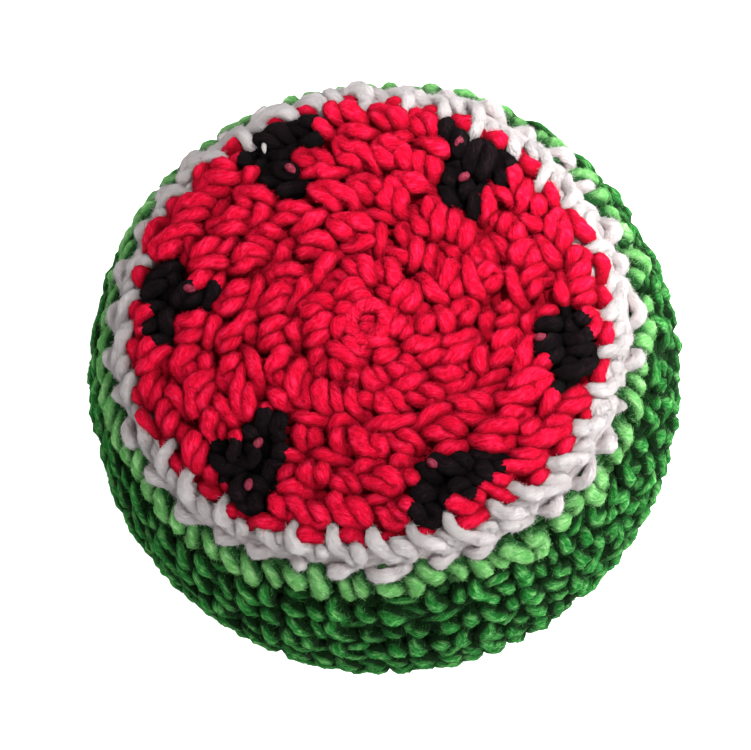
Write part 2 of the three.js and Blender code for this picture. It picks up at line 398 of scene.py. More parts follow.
def list_rounds():
    """Each round's start along the outline, its pitch and its number of stitches."""
    top = DISC_ROUNDS + RIM_ROUNDS
    made = []
    for i in range(top):
        made.append((i * ROUND_PITCH, ROUND_PITCH, min((i + 1) * INCREASE, MOST_STITCHES)))
    left = OUTLINE_LENGTH - top * ROUND_PITCH
    green = round(left / ROUND_PITCH)
    pitch = left / green
    for i in range(green):
        start = top * ROUND_PITCH + i * pitch
        around = 2 * math.pi * radius_at(start + pitch / 2)
        stitches = round(around / (STITCH_PITCH * INCREASE)) * INCREASE
        made.append((start, pitch, min(max(stitches, INCREASE), MOST_STITCHES)))
    return made


def list_stitches():
    """One row a stitch: its round, place in it, angles of last head, head and hole, and gauge."""
    rows = []
    turn = math.radians(SEAM_ANGLE)
    before = None
    for index, (start, pitch, count) in enumerate(list_rounds()):
        step = 2 * math.pi / count
        place = np.arange(count)
        if before is None:
            holes = turn + step * (place + 0.5)
        else:
            shared = place * before[1] / count
            parent = np.floor(shared)
            beside = (shared - parent) * SHARED_STEP - SHARED_BACK * (count > before[1])
            holes = before[0] + before[2] * (parent + HOLE_PLACE + beside)
        turn = np.mean(holes - step * (place + 1)) + HEAD_LEAN * step
        for k in range(count):
            last, head = turn + step * k, turn + step * (k + 1)
            rows.append((index, k, last, head, holes[k], step, start, pitch))
        before = (turn, count, step)
    return np.array(rows)


stitches = list_stitches()
LAST_ROUND = stitches[-1, 0]


def stitch_points():
    """Every stitch's points: their places, the skin and the way out over them, and thicknesses."""
    count = len(stitches)
    size = (count, len(STITCH_PATH))

    def each_stitch(spread, middle=0):
        return rng.normal(middle, spread, (count, 1))

    def each_point(spread, middle=0):
        return rng.normal(middle, spread, size)

    index, place, last, head, hole, step, start, pitch = (x[:, None] for x in stitches.T)
    along, shift, up, over, thick = STITCH_PATH.T[:, None, :]
    rind, light, greens = index == DISC_ROUNDS, index == DISC_ROUNDS + 1, index > DISC_ROUNDS
    in_heads = (np.arange(len(STITCH_PATH)) < HEAD_POINTS)[None, :]
    rind_legs, green_legs = rind & ~in_heads, greens & ~in_heads
    front_heads = in_heads & (over > 0)
    low_leg, foot = up < LOW_LEG, up < LEG_FOOT

    # Round the bag: from the last head to this stitch's hole and its own head
    nudge = each_stitch(HEAD_SPREAD) * step
    last = last + np.r_[[[0]], nudge[:-1]]
    head = head + nudge
    hole = hole + each_stitch(HOLE_SPREAD) * step
    from_last = np.clip(-along, 0, 1)
    on_head = np.where(along < 0, 1 + along, along)
    hanging = from_last * last + on_head * np.where(along > TURNS_TO_HOLE, hole, head)
    angle = np.where(along < 0, hanging, on_head * head + (1 - on_head) * hole)
    apart = np.where(green_legs, GREEN_LEGS_APART, 1)
    apart = np.where(rind_legs, np.where(low_leg, RIND_LEGS_APART, RIND_TOPS_APART), apart)
    angle = angle + step * (shift * apart + each_point(ASIDE_SPREAD))

    # Up the round
    up = up + each_stitch(STITCH_UP_SPREAD) + each_point(POINT_UP_SPREAD)
    up = up - (place == 0) * from_last * SEAM_BACK
    up = up + LIGHT_LEGS_UP * (light & foot)
    up = up + np.r_[RIND_HEADS_UP, RIND_LEGS_ALONG][None, :] * rind
    up = up * np.where(rind_legs & (over > LEG_FRONT), RIND_LEGS_LENGTH, 1)
    up = up * np.where(green_legs & (over > 0), GREEN_LEGS_LENGTH, 1)
    lean = GREEN_LEAN - GREEN_LEAN_CHANGE * np.cos(angle)
    angle = angle + step * np.where(green_legs, lean * (up - LEAN_FROM), 0)
    up = np.where(index == 0, FIRST_ROUND_FROM + (1 - FIRST_ROUND_FROM) * up, up)
    up = np.where(index == LAST_ROUND, LAST_ROUND_TO * up, up)

    # Out of the fabric
    over = over + np.r_[RIND_HEADS_OUT, np.zeros(len(RIND_LEGS_ALONG))][None, :] * rind
    over = over * np.where(greens & front_heads, GREEN_HEADS_OUT, 1)
    red_heads = front_heads & ~greens & ~rind
    over = over * np.where(red_heads, rng.uniform(*RED_HEADS_OUT, (count, 1)), 1)
    arch = np.isin(np.arange(len(STITCH_PATH)), ARCH_POINTS)[None, :]
    red_arch = rng.uniform(*RED_ARCH, (count, 1))
    bulge = np.where(rind, RIND_ARCH, np.where(greens, GREEN_ARCH, red_arch))
    over = over + arch * bulge * ARCH_OUT
    uneven = each_stitch(STITCH_OUT_SPREAD) * (over > 0) + each_point(POINT_OUT_SPREAD)
    over = over + np.where(greens, GREEN_UNEVEN, 1) * uneven

    thick = thick * np.where(index < DISC_ROUNDS, 1, np.where(rind, RIND_YARN, GREEN_YARN))
    thick = thick * each_stitch(STITCH_GIRTH_SPREAD, 1) * each_point(POINT_GIRTH_SPREAD, 1)
    distance = stretched(start + pitch * up, angle)
    points = on_bag(angle, distance, FABRIC_DEPTH - over)
    skin = on_bag(angle, distance, 0 * over)
    outward = on_bag(angle, distance, 0 * over - 1) - skin
    return np.concatenate((points, skin, outward, thick[..., None]), 2)


def yarn_line():
    """The whole yarn as points: places, skin, way out, thickness, stitch, and if in its legs."""
    control = stitch_points()
    control = control.reshape(-1, control.shape[-1])
    smooth = catmull_rom(control, PATH_SAMPLES)
    _, old = spaced(smooth[:, :3], POINT_STEP)
    smooth = np.stack([np.interp(old, np.arange(len(smooth)), column) for column in smooth.T], 1)
    which = np.minimum((old / PATH_SAMPLES).astype(int), len(control) - 1)
    owner, point = np.divmod(which, len(STITCH_PATH))
    places, skin, outward, thick = np.split(smooth, (3, 6, 9), axis=1)
    return places, skin, outward, thick[:, 0] * YARN_RADIUS, owner, point >= HEAD_POINTS


def close_pairs(points, reach):
    """Every two points that lie in the same or neighbouring cells of a grid."""
    cells = np.floor(points / reach).astype(np.int64) + GRID_CELLS // 2
    keys = cells[:, 0] + GRID_CELLS * (cells[:, 1] + GRID_CELLS * cells[:, 2])
    order = np.argsort(keys, kind="stable")
    ordered = keys[order]
    firsts, seconds = [], []
    for x, y, z in itertools.product((-1, 0, 1), repeat=3):
        wanted = keys + x + GRID_CELLS * (y + GRID_CELLS * z)
        low = np.searchsorted(ordered, wanted, "left")
        many = np.searchsorted(ordered, wanted, "right") - low
        first = np.repeat(np.arange(len(points)), many)
        inside = np.arange(len(first)) - np.repeat(np.cumsum(many) - many, many)
        second = order[np.repeat(low, many) + inside]
        keep = second - first > NEIGHBOURS
        firsts.append(first[keep])
        seconds.append(second[keep])
    return np.concatenate(firsts), np.concatenate(seconds)


def settle(points, skin, outward, radius):
    """Push strands that run into each other apart, as soft yarn lies, and keep them in the bag."""
    home = points.copy()
    for turn in range(SETTLE_STEPS):
        if turn % PAIRS_EVERY == 0:
            first, second = close_pairs(points, PAIR_REACH)
            gap = np.linalg.norm(points[first] - points[second], axis=1)
            near = gap < radius[first] + radius[second] + PAIR_MARGIN
            first, second = first[near], second[near]
        apart = points[first] - points[second]
        gap = np.maximum(np.linalg.norm(apart, axis=1), LEAST_APART)
        over = np.maximum((radius[first] + radius[second]) * SQUEEZE - gap, 0)
        push = apart * (over / gap * PUSH_SHARE)[:, None]
        moved = np.zeros_like(points)
        for i in range(3):
            moved[:, i] += np.bincount(first, push[:, i], len(points))
            moved[:, i] -= np.bincount(second, push[:, i], len(points))
        size = np.linalg.norm(moved, axis=1, keepdims=True)
        moved *= np.minimum(1, MOST_PUSH / np.maximum(size, 1e-9))
        drift = (points + moved - home) * KEPT_DRIFT
        drift[1:-1] = 0.5 * drift[1:-1] + 0.25 * (drift[:-2] + drift[2:])
        points = home + drift
        proud = np.sum((points - skin) * outward, axis=1) + radius - OUTER_SLACK
        points -= outward * (np.maximum(proud, 0) * PROUD_SHARE)[:, None]
        points[:, 2] = np.maximum(points[:, 2], radius * FLOOR_SQUEEZE)
    return points


yarn, skin, outward, girth, owner, legs = yarn_line()
# Soft yarn bends gently: the red's a little, the other rounds' more
in_top = (stitches[owner[1:-1], 0] < DISC_ROUNDS)[:, None]
for turn in range(SOFT_BENDS):
    softer = (yarn[:-2] + 2 * yarn[1:-1] + yarn[2:]) / 4
    yarn[1:-1] = np.where(in_top & (turn > 0), yarn[1:-1], softer)
yarn = settle(yarn, skin, outward, girth)


def stitch_colour(row, in_legs):
    """The colour of yarn that a stitch's head or legs are worked in."""
    index = int(row[0])
    if index < DISC_ROUNDS:
        return "flesh"
    if index == DISC_ROUNDS:
        return "rind"
    if index == DISC_ROUNDS + 1 and in_legs:
        return "light"
    piece = max(index - DISC_ROUNDS - RIM_ROUNDS, 0) // ROUNDS_PER_PIECE + 1
    return f"green_{min(piece, len(GREEN_FIBRES))}"


half_colour = np.array([[stitch_colour(row, False), stitch_colour(row, True)] for row in stitches])
colour = half_colour[owner, legs.astype(int)].astype("U12")


def runs_of(mask):
    """First and last index of each run of true values."""
    edges = np.diff(np.r_[0, mask.astype(int), 0])
    return list(zip(np.flatnonzero(edges == 1), np.flatnonzero(edges == -1) - 1))


def in_patches(points, patches):
    """Which points lie in a seed's patches of black."""
    away = [np.hypot(points[:, 0] - x, points[:, 1] - y) - r for x, y, r in patches]
    return np.min(away, axis=0) < PATCH_EDGE


# The yarn is changed to black over each seed, but never for less than a few points
for number, patches in enumerate(SEED_PATCHES, 1):
    black = in_patches(yarn, patches) & (colour == "flesh")
    for a, b in runs_of(~black):
        if b - a < LEAST_GAP and np.all(colour[a : b + 1] == "flesh"):
            black[a : b + 1] = True
    for a, b in runs_of(black):
        if b - a >= LEAST_PATCH:
            colour[a : b + 1] = f"seed_{number}"


# What each tree's kinds of node start with
NODE_KINDS = {"SHADER": "ShaderNode", "GEOMETRY": "GeometryNode"}


def set_inputs(node, values):
    for name, value in values.items():
        node.inputs[name].default_value = value


def add_node(tree, kind, values={}, **settings):
    """A new node, with its settings and then the values of its inputs."""
    node = tree.nodes.new(NODE_KINDS[tree.type] + kind)
    for name, setting in settings.items():
        setattr(node, name, setting)
    set_inputs(node, values)
    return node


def wire(tree, *rows):
    """Links, each from a node's output to a node's input."""
    for source, output, target, place in rows:
        tree.links.new(source.outputs[output], target.inputs[place])


def sweep_nodes(sides):
    """A modifier's node group that sweeps a closed round tube along each line."""
    tree = bpy.data.node_groups.new(f"sweep_{sides}", "GeometryNodeTree")
    for way in ("INPUT", "OUTPUT"):
        tree.interface.new_socket("Geometry", in_out=way, socket_type="NodeSocketGeometry")
    start, end = tree.nodes.new("NodeGroupInput"), tree.nodes.new("NodeGroupOutput")
    circle = add_node(tree, "CurvePrimitiveCircle", {"Resolution": sides})
    radius = add_node(tree, "InputRadius")
    sweep = add_node(tree, "CurveToMesh", {"Fill Caps": True})
    wire(
        tree,
        (start, 0, sweep, "Curve"),
        (circle, "Curve", sweep, "Profile Curve"),
        (radius, 0, sweep, "Scale"),
        (sweep, "Mesh", end, 0),
    )
    return tree


SWEEPS = {sides: sweep_nodes(sides) for sides in (FIBRE_SIDES, BACK_SIDES, TUBE_SIDES)}


def add_object(name, data):
    made = bpy.data.objects.new(name, data)
    bpy.context.scene.collection.objects.link(made)
    return made


def make_smooth(mesh):
    for polygon in mesh.polygons:
        polygon.use_smooth = True


def tube(name, lines, sides):
    """A mesh of tubes along lines of places and thickness in millimetres."""
    curve = bpy.data.curves.new(name, "CURVE")
    curve.dimensions = "3D"
    for points, girths, *_ in lines:
        spline = curve.splines.new("POLY")
        spline.points.add(len(points) - 1)
        flat = np.concatenate((points * MM, np.ones((len(points), 1))), 1)
        spline.points.foreach_set("co", flat.ravel())
        spline.points.foreach_set("radius", girths * MM)
    holder = add_object(name + "_path", curve)
    holder.modifiers.new("sweep", "NODES").node_group = SWEEPS[sides]
    graph = bpy.context.evaluated_depsgraph_get()
    mesh = bpy.data.meshes.new_from_object(holder.evaluated_get(graph))
    bpy.data.objects.remove(holder)
    bpy.data.curves.remove(curve)
    mesh.name = name
    return add_object(name, mesh)


def lay_strands(piece, lines, sides, step=POINT_STEP):
    """Give each vertex its place on its own strand and its depth for the painted shade, and make the
    strands lumpy.
    """
    mesh = piece.data
    centres, _, skins, normals = (np.repeat(np.concatenate(x), sides, 0) for x in zip(*lines))
    runs = [np.arange(len(line[0])) * step + LINE_OFFSET * i for i, line in enumerate(lines)]
    along = np.repeat(np.concatenate(runs), sides)
    around = np.tile(np.arange(sides) * 2 * math.pi / sides, len(along) // sides)
    around = around + along * YARN_TWIST
    strand = np.stack((np.cos(around), np.sin(around), along), 1)
    places = np.empty(len(mesh.vertices) * 3)
    mesh.vertices.foreach_get("co", places)
    places = places.reshape(-1, 3) / MM
    # Waves of several lengths, so that no two lumps are alike
    lumps = np.sin(1.9 * along + 2 * np.sin(0.37 * along)) + np.sin(2 * around + 2.9 * along)
    lumps += np.sin(3 * around - 1.3 * along)
    places = centres + (places - centres) * (1 + LUMPS * lumps / 2)[:, None]
    places[:, 2] = np.maximum(places[:, 2], CLEAR_OF_FLOOR)
    mesh.vertices.foreach_set("co", (places * MM).ravel())
    mark(mesh, "strand", strand)
    # Painted shade: the yarn is darkened the deeper a vertex lies under the skin, and a strand's sides
    # count as deeper still
    spread = (places - centres) / np.linalg.norm(places - centres, axis=1, keepdims=True)
    aside = 1 - np.sum(spread * normals, 1)
    mark(mesh, "depth", np.sum((skins - places) * normals, 1) + SIDE_SHADE_DEPTH * aside)
    mesh.update()


def mark(mesh, name, values):
    """Store a value for each vertex."""
    kind, field = ("FLOAT", "value") if values.ndim == 1 else ("FLOAT_VECTOR", "vector")
    made = mesh.attributes.new(name, kind, "POINT")
    made.data.foreach_set(field, values.ravel())


def lines_for(wanted):
    """The yarn's runs of one colour, each a little longer at both ends and thin at its tips."""
    made = []
    for a, b in runs_of(colour == wanted):
        if b > a:
            a, b = max(a - RUN_OVERLAP, 0), min(b + 1 + RUN_OVERLAP, len(yarn))
            ends = np.minimum(np.arange(b - a), np.arange(b - a)[::-1])
            thin = girth[a:b] * np.interp(ends, range(len(TIP_THICKNESS)), TIP_THICKNESS)
            made.append((yarn[a:b], thin, skin[a:b], outward[a:b]))
    return made


def new_material(name, values):
    """A material, its nodes' tree and its shader, with the values of the shader's inputs."""
    made = bpy.data.materials.new(name)
    made.use_nodes = True
    shader = made.node_tree.nodes["Principled BSDF"]
    set_inputs(shader, values)
    return made, made.node_tree, shader


def shaded_yarn_material(name, colour, dark, light, sheen, painted_shade_colour, painted_shade_from, painted_shade_to):
    """Matted yarn: fine streaks and soft clumps along each strand, with painted shade in its depths and at
    its sides.
    """
    cloth = {"Roughness": 0.95, "Specular IOR Level": 0.1}
    cloth |= {"Sheen Weight": sheen, "Sheen Roughness": 0.6, "Sheen Tint": (*light, 1)}
    made, tree, shader = new_material(name, cloth)
    strand = add_node(tree, "Attribute", attribute_name="strand")
    depth = add_node(tree, "Attribute", attribute_name="depth")
    stretch = add_node(tree, "Mapping", {"Scale": (1, 1, 0.34)})
    streaks = {"Scale": 3.6, "Detail": 6, "Roughness": 0.72, "Distortion": 0.6}
    noise = add_node(tree, "TexNoise", streaks)
    clumps = add_node(tree, "TexNoise", {"Scale": 1.2, "Distortion": 0.5})
    matted = add_node(tree, "Math", {1: CLUMP_SHARE}, operation="MULTIPLY_ADD")
    ramp = add_node(tree, "ValToRGB")
    first, last = ramp.color_ramp.elements
    first.position, middle, last.position = DARK_TO_LIGHT
    first.color, last.color = (*dark, 1), (*light, 1)
    ramp.color_ramp.elements.new(middle).color = (*colour, 1)
    bump = add_node(tree, "Bump", {"Distance": 0.65 * MM})
    # Painted shade: the deeper a point lies, the more the painted shade colour replaces the streaked colour
    painted_shade_amount = add_node(tree, "MapRange", {"From Min": painted_shade_from, "From Max": painted_shade_to})
    shade = add_node(tree, "Mix", {"B": (*painted_shade_colour, 1)}, data_type="RGBA")
    wire(
        tree,
        (strand, "Vector", stretch, "Vector"),
        (stretch, "Vector", noise, "Vector"),
        (strand, "Vector", clumps, "Vector"),
        (clumps, "Fac", matted, 0),
        (noise, "Fac", matted, 2),
        (matted, "Value", ramp, "Fac"),
        (depth, "Fac", painted_shade_amount, "Value"),
        (painted_shade_amount, "Result", shade, "Factor"),
        (ramp, "Color", shade, "A"),
        (shade, "Result", shader, "Base Color"),
        (matted, "Value", bump, "Height"),
        (bump, "Normal", shader, "Normal"),
    )
    return made


# Each yarn: its colour, its darker and lighter streaks, its sheen, its painted shade colour for
# the grooves and the strands' sides, and the depths in millimetres between which that painted shade darkens
# it
YARNS = {
    "red_yarn": (
        (0.89, 0.002, 0.040), (0.52, 0.000, 0.014), (0.98, 0.022, 0.100),
        0.06, (0.35, 0.000, 0.010), 0.2, 2.1,
    ),
    "black_yarn": (
        (0.005, 0.002, 0.003), (0.002, 0.001, 0.001), (0.020, 0.008, 0.011),
        0.02, (0.002, 0.001, 0.001), 0.3, 2.2,
    ),
    # The white's painted shade colour is pinker: the red's bounced light is painted into its grooves
    "white_yarn": (
        (0.665, 0.62, 0.615), (0.60, 0.54, 0.54), (0.70, 0.675, 0.67),
        0.06, (0.58, 0.48, 0.48), 0.9, 4.8,
    ),
    "light_green_yarn": (
        (0.16, 0.49, 0.13), (0.08, 0.33, 0.07), (0.38, 0.70, 0.30),
        0.08, (0.004, 0.06, 0.010), 0.3, 2.0,
    ),
    "green_yarn": (
        (0.024, 0.29, 0.043), (0.003, 0.115, 0.010), (0.24, 0.66, 0.19),
        0.03, (0.000, 0.014, 0.001), -0.5, 1.2,
    ),
    # A red much darker than the yarn's own, for where it peeks through the seeds
    "dark_peek_red": (
        (0.30, 0.03, 0.06), (0.20, 0.01, 0.03), (0.42, 0.07, 0.11),
        0.1, (0.12, 0.0, 0.01), 0.8, 2.4,
    ),
}
MATERIALS = {name: shaded_yarn_material(name, *finish) for name, finish in YARNS.items()}


def finish_yarn(piece, slot, *nodes):
    piece.data.materials.clear()
    piece.data.materials.append(MATERIALS[slot])
    make_smooth(piece.data)
    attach(piece, "root")
    if nodes:
        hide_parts(*nodes)


def lay_yarn(name, slot, lines, sides=TUBE_SIDES, step=POINT_STEP, nodes=()):
    """A finished piece of yarn: tubes along lines, with their twist, lumps and colour."""
    piece = tube(name, lines, sides)
    lay_strands(piece, lines, sides, step)
    finish_yarn(piece, slot, *nodes)
    return piece


def fibres_for(lines, share):
    """Fine fibres that stand off the strands' outer sides and cross to the strands beside them."""
    kept = []
    t = np.linspace(0, 1, FIBRE_POINTS)[None, :, None]
    for points, girths, skins, normals in lines:
        if len(points) < 2 * FIBRE_ENDS + 2:
            continue
        ahead = unit(np.gradient(points, axis=0))
        side = unit(np.cross(ahead, normals))
        fields = np.concatenate((points, ahead, side, np.cross(side, ahead), skins, normals), 1)
        count = int(len(points) * share)
        draws = (count, 1, 1)
        start = rng.uniform(FIBRE_ENDS, len(points) - 1 - FIBRE_ENDS, count)
        index = np.arange(len(points))
        columns = [np.interp(start, index, column) for column in fields.T]
        centre, ahead, side, top, skin_at, out = (
            np.stack(columns[i : i + 3], -1)[:, None, :] for i in range(0, 18, 3)
        )
        turn, heading = rng.normal(0, FIBRE_AROUND, draws), rng.normal(0, FIBRE_SPREAD, draws)
        normal = side * np.sin(turn) + top * np.cos(turn)
        foot = centre + normal * np.interp(start, index, girths)[:, None, None] * FIBRE_FOOT
        run = ahead * np.cos(heading) * rng.choice((-1, 1), draws)
        run = run + np.cross(normal, ahead) * np.sin(heading)
        length = FIBRE_LENGTH * rng.uniform(FIBRE_SHORTEST, 1, draws)
        bend = np.cross(normal, run) * rng.normal(0, FIBRE_BEND, draws) * t**2
        rise = rng.normal(0, FIBRE_LIFT, draws) * t**2
        spots = foot + (run * t + bend) * length + normal * rise
        deep = np.sum((skin_at - spots) * out, -1)
        good = (deep.min(1) < FIBRE_DEEPEST) & (deep.min(1) > -FIBRE_HIGHEST)
        spots[..., 2] = np.maximum(spots[..., 2], FIBRE_THICKNESS)
        kept.append(np.concatenate((spots[good], deep[good][..., None]), 2))
    return np.concatenate(kept)


def add_fuzz(name, slot, lines, share):
    """The fibres of a yarn, in pieces that aren't too heavy."""
    hairs = fibres_for(lines, share)
    hairs = hairs[rng.permutation(len(hairs))]
    thin = FIBRE_THICKNESS * np.array((1, 0.5))
    for part in range(math.ceil(len(hairs) / FIBRES_PER_PIECE)):
        some = hairs[part * FIBRES_PER_PIECE : (part + 1) * FIBRES_PER_PIECE]
        fuzz = tube(f"{name}_fuzz_{part + 1}", [(hair[:, :3], thin) for hair in some], FIBRE_SIDES)
        along = np.tile(np.linspace(0, FIBRE_LENGTH, FIBRE_POINTS), len(some))
        hair = np.repeat(np.arange(len(some)), FIBRE_POINTS)
        strand = np.stack((hair * FIBRE_STREAKS[0], hair * FIBRE_STREAKS[1], along), 1)
        mark(fuzz.data, "strand", np.repeat(strand, FIBRE_SIDES, 0))
        # Painted shade: each fibre is darkened the deeper it lies under the skin
        mark(fuzz.data, "depth", np.repeat(some[..., 3].ravel(), FIBRE_SIDES))
        finish_yarn(fuzz, slot)


def knit(name, slot, nodes, wanted, fibres):
    """One colour's run of the yarn line, and the fibres that stand off it."""
    lines = lines_for(wanted)
    lay_yarn(f"{name}_yarn", slot, lines, nodes=nodes)
    add_fuzz(name, slot, lines, fibres)


def add_backs(name, slot, first, last):
    """The strands that run along the back of some rounds and close the fabric there."""
    lines = []
    depths = (BACK_DEPTHS[name], 0, -1)
    for start, pitch, _ in list_rounds()[first : last + 1]:
        for strand in range(BACK_STRANDS):
            distance = start + pitch * (strand + 0.5) / BACK_STRANDS
            step = BACK_STEP / max(radius_at(distance), LEAST_BACK_ROUND)
            turns = np.arange(0, 2 * math.pi + BACK_OVERLAP, step)
            run, skin, proud = (on_bag(turns, stretched(distance, turns), deep) for deep in depths)
            radii = BACK_RADIUS * rng.normal(1, BACK_SPREAD, len(turns))
            lines.append((run, radii, skin, proud - skin))
    # Behind a seed the red's strands are black
    if first == 0:
        blacks, reds = [], []
        for line in lines:
            black = np.any([in_patches(line[0], patches) for patches in SEED_PATCHES], axis=0)
            for mask, kept in ((black, blacks), (~black, reds)):
                runs = [(a, b + 2) for a, b in runs_of(mask) if b > a]
                kept.extend(tuple(part[a:b] for part in line) for a, b in runs)
        lay_yarn("seed_backs", "black_yarn", blacks, BACK_SIDES, BACK_STEP)
        lines = reds
    lay_yarn(f"{name}_back", slot, lines, BACK_SIDES, BACK_STEP)


def upright(count):
    return np.tile((0.0, 0.0, 1.0), (count, 1))


def add_ring():
    """The ring that the first round is worked over: it starts in the hollow and lies on top."""
    turns = np.radians(np.linspace(*RING_TURNS, RING_POINTS))
    first_part = (turns[0], 0)
    over = np.interp(turns, first_part, RING_OUT)
    over = over + RING_TILT * np.cos(turns - math.radians(RING_HIGH_SIDE))
    away = np.interp(turns, first_part, RING_AWAY)
    girths = YARN_RADIUS * np.interp(turns, first_part, RING_THICKNESS)
    run, skin = on_bag(turns, away, FABRIC_DEPTH - over), on_bag(turns, away, 0 * turns)
    lines = [(run, girths, skin, upright(RING_POINTS))]
    across = np.linspace(-1, 1, HOLLOW_POINTS)
    top = on_bag(0 * across, np.abs(across), 0 * across)[:, 2]
    girths = YARN_RADIUS * (1 - HOLLOW_TAPER * across**2)
    for beside in HOLLOW_STRANDS:
        aside = beside - HOLLOW_SLANT * across
        run, skin = (np.stack((across, aside, z), 1) for z in (top - HOLLOW_DEPTH, top))
        lines.append((run, girths, skin, upright(HOLLOW_POINTS)))
    lay_yarn("centre_ring", "red_yarn", lines)


def add_peeks():
    """Where the red yarn, carried along inside the black stitches, peeks through the seeds."""
    steps = np.linspace(-1, 1, PEEK_POINTS)
    for number, (x, y) in enumerate((*PEEKS, WHITE_PEEK), 1):
        white = (x, y) == WHITE_PEEK
        away, turn = math.hypot(x, y), math.atan2(y, x)
        tilt = rng.uniform(-PEEK_TILT, PEEK_TILT)
        run = on_bag(
            turn + steps * PEEK_LENGTH * math.sin(tilt) / away,
            away + steps * PEEK_LENGTH * math.cos(tilt),
            PEEK_DEPTH + PEEK_ARCH * steps**2,
        )
        skin = on_bag(turn + 0 * steps, away + steps, 0 * steps)
        radius = PEEK_RADIUS * (WHITE_SHARE if white else 1)
        lines = [(run, radius * (1 - PEEK_TAPER * steps**2), skin, upright(PEEK_POINTS))]
        piece = lay_yarn(f"peek_{number}", "white_yarn" if white else "red_yarn", lines)
        if not white:
            piece.data.materials[0] = MATERIALS["dark_peek_red"]


knit("flesh", "red_yarn", ["flesh_panel"], "flesh", FLESH_FIBRES)
for number in range(1, len(SEED_PATCHES) + 1):
    knit(f"seed_{number}", "black_yarn", [f"seed_{number}"], f"seed_{number}", SEED_FIBRES)
knit("rind", "white_yarn", ["rind_ring"], "rind", RIND_FIBRES)
knit("light_green", "light_green_yarn", ["light_green_ring"], "light", LIGHT_FIBRES)
for number, fibres in enumerate(GREEN_FIBRES, 1):
    knit(f"green_{number}", "green_yarn", ["green_cup"], f"green_{number}", fibres)
add_backs("flesh", "red_yarn", 0, DISC_ROUNDS - 1)
add_backs("rind", "white_yarn", DISC_ROUNDS, DISC_ROUNDS)
add_backs("light_green", "light_green_yarn", DISC_ROUNDS + 1, DISC_ROUNDS + 1)
add_backs("green", "green_yarn", DISC_ROUNDS + RIM_ROUNDS, int(LAST_ROUND))
add_ring()
add_peeks()

# Inside the shell
pouch_run = np.linspace(0, OUTLINE_LENGTH, POUCH_ROWS)


def side_at(depth):
    """The bag's outline at a depth, as distances from the axis and heights."""
    return on_bag(0 * pouch_run, pouch_run, depth)[:, (0, 2)]


def pouch_cloth():
    """The pouch turned round the axis: a round of cloth whose neck is gathered under it."""
    side = side_at(POUCH_DEPTH)
    side = side[(side[:, 0] > DIMPLE_RADIUS) | (side[:, 1] > BAG_HEIGHT / 2)]
    line = catmull_rom(np.concatenate((side, NECK_SIDE)), 2)
    shape = bmesh.new()
    rim = [shape.verts.new((max(x, 0) * MM, 0, z * MM)) for x, z in line]
    edges = [shape.edges.new(pair) for pair in zip(rim, rim[1:])]
    whole = {"axis": (0, 0, 1), "angle": 2 * math.pi, "steps": POUCH_STEPS, "use_merge": True}
    bmesh.ops.spin(shape, geom=rim + edges, **whole)
    bmesh.ops.remove_doubles(shape, verts=shape.verts, dist=1e-6)
    bmesh.ops.recalc_face_normals(shape, faces=shape.faces)
    return shape


def lay_weave(shape):
    """The cloth's own directions: round the bag, and out from the axis and up."""
    cloth = shape.loops.layers.uv.new("cloth")
    for face in shape.faces:
        middle = face.calc_center_median()
        facing = math.atan2(middle.y, middle.x)
        for loop in face.loops:
            place = loop.vert.co
            away = math.hypot(place.x, place.y)
            turn = facing
            if away >= 1e-6:
                aside = (math.atan2(place.y, place.x) - facing + math.pi) % (2 * math.pi) - math.pi
                turn = aside + facing
            loop[cloth].uv = (turn * CLOTH_ROUND * MM, place.z - NECK_TOP * MM + away)


def gather(shape):
    """Pleats towards the neck, the pellets' lumps elsewhere, and ruffles on the neck itself."""
    for vert in shape.verts:
        away, turn = math.hypot(vert.co.x, vert.co.y), math.atan2(vert.co.y, vert.co.x)
        near_neck = max(0, 1 - away / (PLEATS_TO * MM)) if vert.co.z < BAG_HEIGHT / 2 * MM else 0
        fold = POUCH_FOLD * near_neck * math.sin(POUCH_FOLDS * turn + math.sin(3 * turn))
        lump = POUCH_LUMP * math.sin(away / MM * LUMPS_OUT)
        lump *= math.sin(LUMPS_AROUND * turn + vert.co.z / MM * LUMPS_UP)
        rise = fold * (away > PLEATS_FROM * MM)
        rise -= abs(lump) * (away < LUMPS_TO * MM) * (1 - near_neck)
        vert.co.z += rise * MM
        if away < NECK_REACH * MM and vert.co.z < NECK_TOP * MM:
            vert.co.xy *= 1 + NECK_RUFFLE * math.sin(POUCH_FOLDS * turn)
            if vert.co.z < (NECK_BOTTOM + NECK_END) * MM:
                vert.co.z += NECK_END_RUFFLE * away * math.sin(POUCH_FOLDS * turn)


def mesh_from(name, shape):
    mesh = bpy.data.meshes.new(name)
    shape.to_mesh(mesh)
    shape.free()
    make_smooth(mesh)
    return mesh


def gathered_pouch():
    shape = pouch_cloth()
    lay_weave(shape)
    gather(shape)
    mesh = mesh_from("muslin_pouch", shape)
    mesh.materials.append(muslin())
    pouch = add_object("muslin_pouch", mesh)
    wall = pouch.modifiers.new("wall", "SOLIDIFY")
    wall.thickness = POUCH_WALL * MM
    wall.offset = -1
    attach(pouch, "root")
    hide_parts("inner_pouch")


